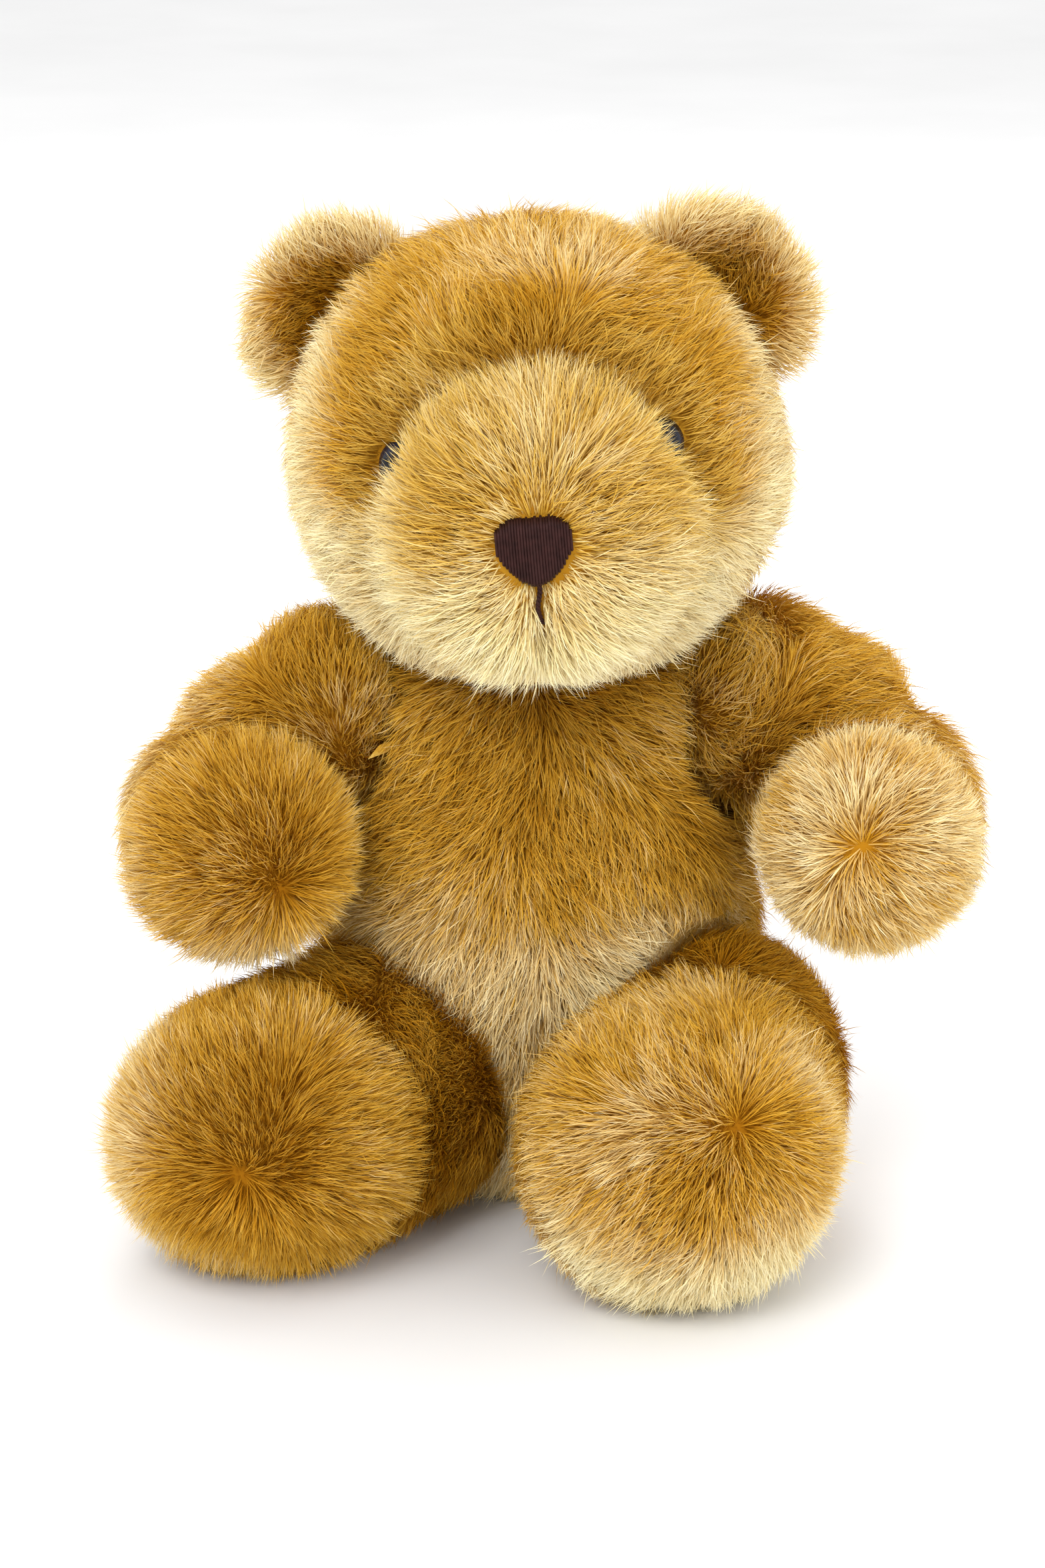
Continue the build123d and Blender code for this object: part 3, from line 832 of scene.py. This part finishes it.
def mouth_strand():
    """Two plies twisted together, lying in the muzzle's cleft."""
    points, _, quads, _ = head
    skin = BVHTree.FromPolygons([Vector(p) for p in points], quads.tolist())
    low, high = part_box("mouth_stitch")
    steps = 46
    parts = []
    for ply in range(2):
        spine = []
        for step in range(steps):
            part = step / (steps - 1)
            z = high[2] + 1.5 * MM + (low[2] - high[2]) * part
            x = nose_middle[0] + math.tan(HEAD_LEAN) * (nose_middle[2] - z)
            hit = skin.ray_cast(Vector((x, -1.0, z)), Vector((0, 1, 0)))[0]
            turn = part * 2 * math.pi * 6 + ply * math.pi
            wander = 0.5 * MM * math.sin(part * 7.0)
            across, forward = PLY_TURN * math.cos(turn), PLY_TURN * math.sin(turn)
            spine.append([x + wander + across, hit.y - MOUTH_STAND + forward, z])
        parts.append((spine, np.full(steps, PLY_HALF)))
    return parts


mouth = strands("mouth_strand", mouth_strand(), thread)
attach(mouth, "head")
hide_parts("mouth_stitch")


# ---- Arms ----
# Each arm is an upper and an under panel, bent at the elbow by its stuffing. The pile runs down from
# the shoulder, and on the paw it opens outward from the middle.

NEAR_JOINT = 1.05


def limb_clear(joint):
    """What keeps a limb's points on its own side of its joint and off the floor."""
    middle, outward = flat_joint(joint, True)

    def clear(points, gap=JOINT_GAP, share=None):
        return keep_off_floor(keep_behind(points, middle, outward, gap, share and share * joint_faces[joint]))
    return clear


def comb_limb(joint, pole, reach, shade_of, start_length, end_length, fuzz):
    """Away from the joint along the limb, and outward from the pole at its end, raised by the fuzz."""
    middle, _ = flat_joint(joint, True)

    def comb(places, out):
        from_pole = np.linalg.norm(places - pole, axis=1)
        end = fade(from_pole, reach * 1.08, reach * 0.92)
        along = unit(places - middle)
        flow = along * (1 - end)[:, None] + unit(places - pole) * end[:, None]
        length = (start_length + (end_length - start_length) * end) * MM
        ridge = np.exp(-((from_pole - reach) / (5 * MM)) ** 2)
        rise = 26 - 12 * fuzz * end + 24 * fade(from_pole, 12 * MM, 0.0) - 8 * ridge
        shade = shade_of(places, from_pole, end)
        lay = 72.0 - 6 * ridge - 26 * fuzz * end
        return flow, length, (rise, lay), shade, joint_bare(places, joint)
    return comb


def build_arm(side, pole, lengths, shade_of, fuzz, seed):
    """One arm."""
    body = f"{side}_arm"
    nodes = [f"{body}_upper_panel", f"{body}_under_panel"]
    points, _, quads, edges = stuffed_form([*nodes, f"{body}_stuffing"], 16, 1.0 * MM)
    clear = limb_clear(f"{side}_shoulder")
    points = clear(points)
    form = points, point_normals(points, quads), quads, edges
    stuff(body, form, f"{body}_stuffing", seed)
    low, high = (np.array(corner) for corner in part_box(f"{body}_under_panel"))
    paw = np.array([high[0] if side == "left" else low[0], low[1], low[2]]) + np.array(pole) * MM
    comb = comb_limb(f"{side}_shoulder", paw, 44 * MM, shade_of, *lengths, fuzz)
    fur_clear = functools.partial(clear, gap=FUR_GAP, share=NEAR_JOINT)
    dress(body, nodes, form, comb, fur_clear, "fur_gold", gold_plush, seed)


def right_arm_shade(places, from_pole, end):
    """Deep gold, with painted shade in the crook and painted rim light at the outside; paler under the paw.
    """
    x, _, z = places.T
    low = fade(z, 108 * MM, 92 * MM)
    # Painted rim light: paler towards the arm's outside edge.
    outer = fade(x, -96 * MM, -118 * MM)
    # Painted shade: darker in the crook of the arm.
    crook_shadow = (1 - end) * fade(from_pole, 62 * MM, 46 * MM)
    return 0.42 + 0.34 * low + 0.34 * outer - 0.22 * crook_shadow


def left_arm_shade(places, from_pole, end):
    """Gold above, and a pale paw with a darker middle; painted shade in the crook and painted rim light at
    the outside.
    """
    # Painted rim light: paler towards the arm's outside edge.
    outer = fade(places[:, 0], 100 * MM, 122 * MM)
    heart = fade(from_pole, 14 * MM, 2 * MM)
    # Painted shade: darker in the crook of the arm.
    crook_shadow = (1 - end) * fade(from_pole, 62 * MM, 46 * MM)
    return 0.42 + 0.28 * end - 0.14 * heart + 0.14 * outer - 0.18 * crook_shadow


build_arm("right", (45, 0, 12), (9.5, 11.0), right_arm_shade, 0.8, 400)
build_arm("left", (-30, 0, 17), (12.0, 9.5), left_arm_shade, 0.2, 420)


# ---- Legs ----
# Each leg is an outer and an inner panel with a round sole. The pile runs from the hip to the ankle,
# and the foot's opens from the middle of the sole.

def build_leg(side, pole, reach, toe_lift, foot_lift, splay, shade_of, fuzz, seed):
    """One leg with its foot, whose underside rises towards the toe."""
    body = f"{side}_leg"
    nodes = [f"{body}_outer_panel", f"{body}_inner_panel", f"{body}_sole"]
    points, _, quads, edges = stuffed_form([*nodes, f"{body}_stuffing"], 18, 1.0 * MM)
    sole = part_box(f"{body}_sole")[0][1]
    toe = fade(points[:, 1], sole + 46 * MM, sole + 6 * MM)
    points[:, 2] += (toe_lift * fade(points[:, 2], 54 * MM, 0.0) + foot_lift) * MM * toe
    points[:, 0] += splay * MM * toe
    clear = limb_clear(f"{side}_hip")
    points = clear(points)
    form = points, point_normals(points, quads), quads, edges
    stuff(body, form, f"{body}_stuffing", seed)
    comb = comb_limb(f"{side}_hip", np.array(pole) * MM, reach, shade_of, 9.5, 10.5, fuzz)

    def comb_leg(places, out):
        flow, length, lean, shade, bare = comb(places, out)
        return flow, length, lean, shade, bare | (places[:, 2] < 1.5 * MM) & (out[:, 2] < -0.8)

    fur_clear = functools.partial(clear, gap=FUR_GAP, share=NEAR_JOINT)
    dress(body, nodes, form, comb_leg, fur_clear, "fur_gold", gold_plush, seed)


def right_leg_shade(places, from_pole, end):
    """Deep gold with a dark sole, and painted rim light round the outside of the foot."""
    x, _, z = places.T
    sole = fade(from_pole, 30 * MM, 12 * MM)
    # Painted rim light: paler towards the foot's outside edge.
    outer = fade(x, -92 * MM, -112 * MM)
    low = fade(z, 24 * MM, 8 * MM)
    return 0.12 + 0.24 * end - 0.10 * sole + 0.34 * outer + 0.22 * low


def left_leg_shade(places, from_pole, end):
    """Gold thigh and a pale foot with a darker middle."""
    heart = fade(from_pole, 12 * MM, 2 * MM)
    low = fade(places[:, 2], 50 * MM, 18 * MM)
    return 0.12 + 0.38 * end - 0.10 * heart + 0.50 * low


build_leg("right", (-84, -108, 46), 52 * MM, 11, 4, -3, right_leg_shade, 1.0, 500)
build_leg("left", (58, -122, 62), 66 * MM, 3, 0, 0, left_leg_shade, 0.2, 520)


# ---- Floor, lights and camera ----
# The bear sits on a plain pale sweep under large soft lamps.

def floor_finish():
    """Matt off-white card with a barely seen mottle."""
    return hard_finish("pale_card", [(0.3, (0.86, 0.86, 0.86)), (0.7, (0.90, 0.90, 0.90))], (0.85, 0.95),
                       patch=6.0, fibre=260.0, height=0.05)


def build_floor():
    """A wide flat floor that the object isn't part of."""
    mesh = bpy.data.meshes.new("floor")
    half = 4.0
    corners = [(-half, -half, 0), (half, -half, 0), (half, half, 0), (-half, half, 0)]
    mesh.from_pydata(corners, [], [(0, 1, 2, 3)])
    mesh.materials.append(floor_finish())
    floor = bpy.data.objects.new("floor", mesh)
    bpy.context.scene.collection.objects.link(floor)


def soft_lamp(name, place, size, power):
    """A large square lamp aimed at the bear's middle."""
    lamp = bpy.data.lights.new(name, "AREA")
    lamp.shape = "SQUARE"
    lamp.size = size
    lamp.energy = power
    holder = bpy.data.objects.new(name, lamp)
    holder.location = place
    holder.rotation_euler = (Vector((0, 0, 0.14)) - Vector(place)).to_track_quat("-Z", "Y").to_euler()
    bpy.context.scene.collection.objects.link(holder)


def light_room():
    """White surroundings, a key lamp up and to one side, a fill and a lamp behind."""
    world = bpy.data.worlds.new("white_room")
    world.use_nodes = True
    world.node_tree.nodes["Background"].inputs["Color"].default_value = (1.0, 1.0, 1.0, 1.0)
    world.node_tree.nodes["Background"].inputs["Strength"].default_value = 1.0
    bpy.context.scene.world = world
    soft_lamp("key", (-0.5, -1.1, 1.3), 0.8, 13.0)
    soft_lamp("fill", (0.9, -0.9, 0.7), 0.9, 4.0)
    soft_lamp("back", (0.2, 1.0, 1.1), 0.9, 8.0)


def place_camera():
    """Seen from in front and a little above."""
    camera_data = bpy.data.cameras.new("camera")
    camera_data.lens = 86.7
    camera_data.sensor_width = 36.0
    camera_data.clip_start = 0.05
    camera = bpy.data.objects.new("camera", camera_data)
    aim = Vector((-5.5, -20.0, 128.0)) * MM
    height = math.radians(20)
    camera.location = aim + Vector((0, -math.cos(height), math.sin(height))) * 1.1
    camera.rotation_euler = (math.pi / 2 - height, 0, 0)
    bpy.context.scene.collection.objects.link(camera)
    bpy.context.scene.camera = camera


build_floor()
light_room()
place_camera()
bpy.context.scene.view_settings.view_transform = "Standard"
